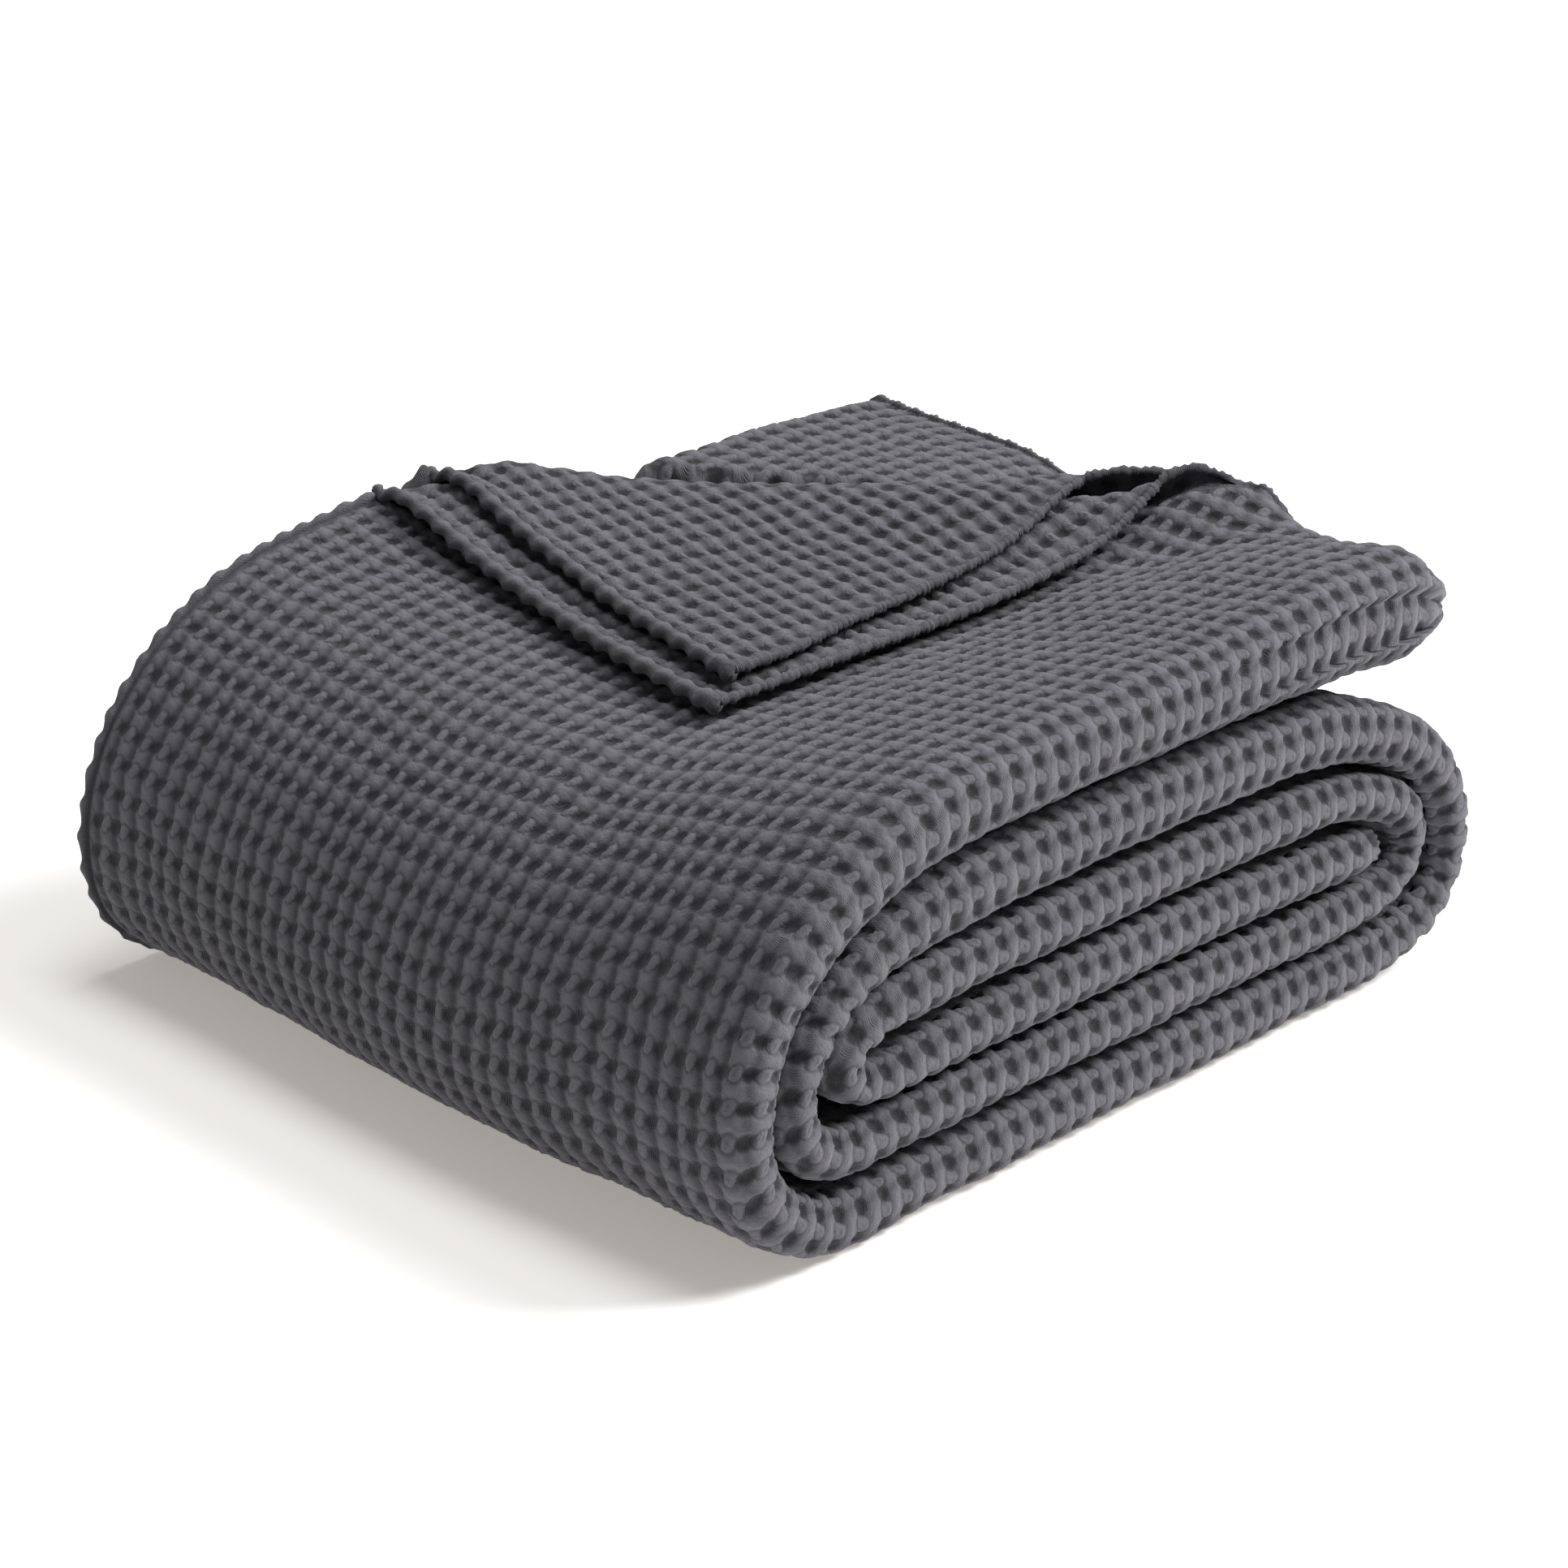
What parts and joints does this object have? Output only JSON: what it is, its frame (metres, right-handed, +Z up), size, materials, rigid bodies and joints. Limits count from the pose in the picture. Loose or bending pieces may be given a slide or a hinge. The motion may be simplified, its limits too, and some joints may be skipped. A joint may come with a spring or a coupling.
{
  "type": "folded waffle weave cotton blanket",
  "caption": "Waffle weave cotton blanket folded to a soft block of flat rolled passes, with one corner of its two upper plies turned back over the top.",
  "frame": {"origin": "on the underside, in the middle of the folded block's bounding box", "axes": "+Z up; +X towards the edge where the four plies are folded, where the coiled passes show; -Y towards the first roll of the strip, the broad front; +Y towards the end of the top pass"},
  "size_m": [0.371, 0.4174, 0.179],
  "materials": {
    "cotton": "matt charcoal grey waffle cotton"
  },
  "bodies": {
    "root": {"blanket": "cotton"}
  },
  "joints": []
}
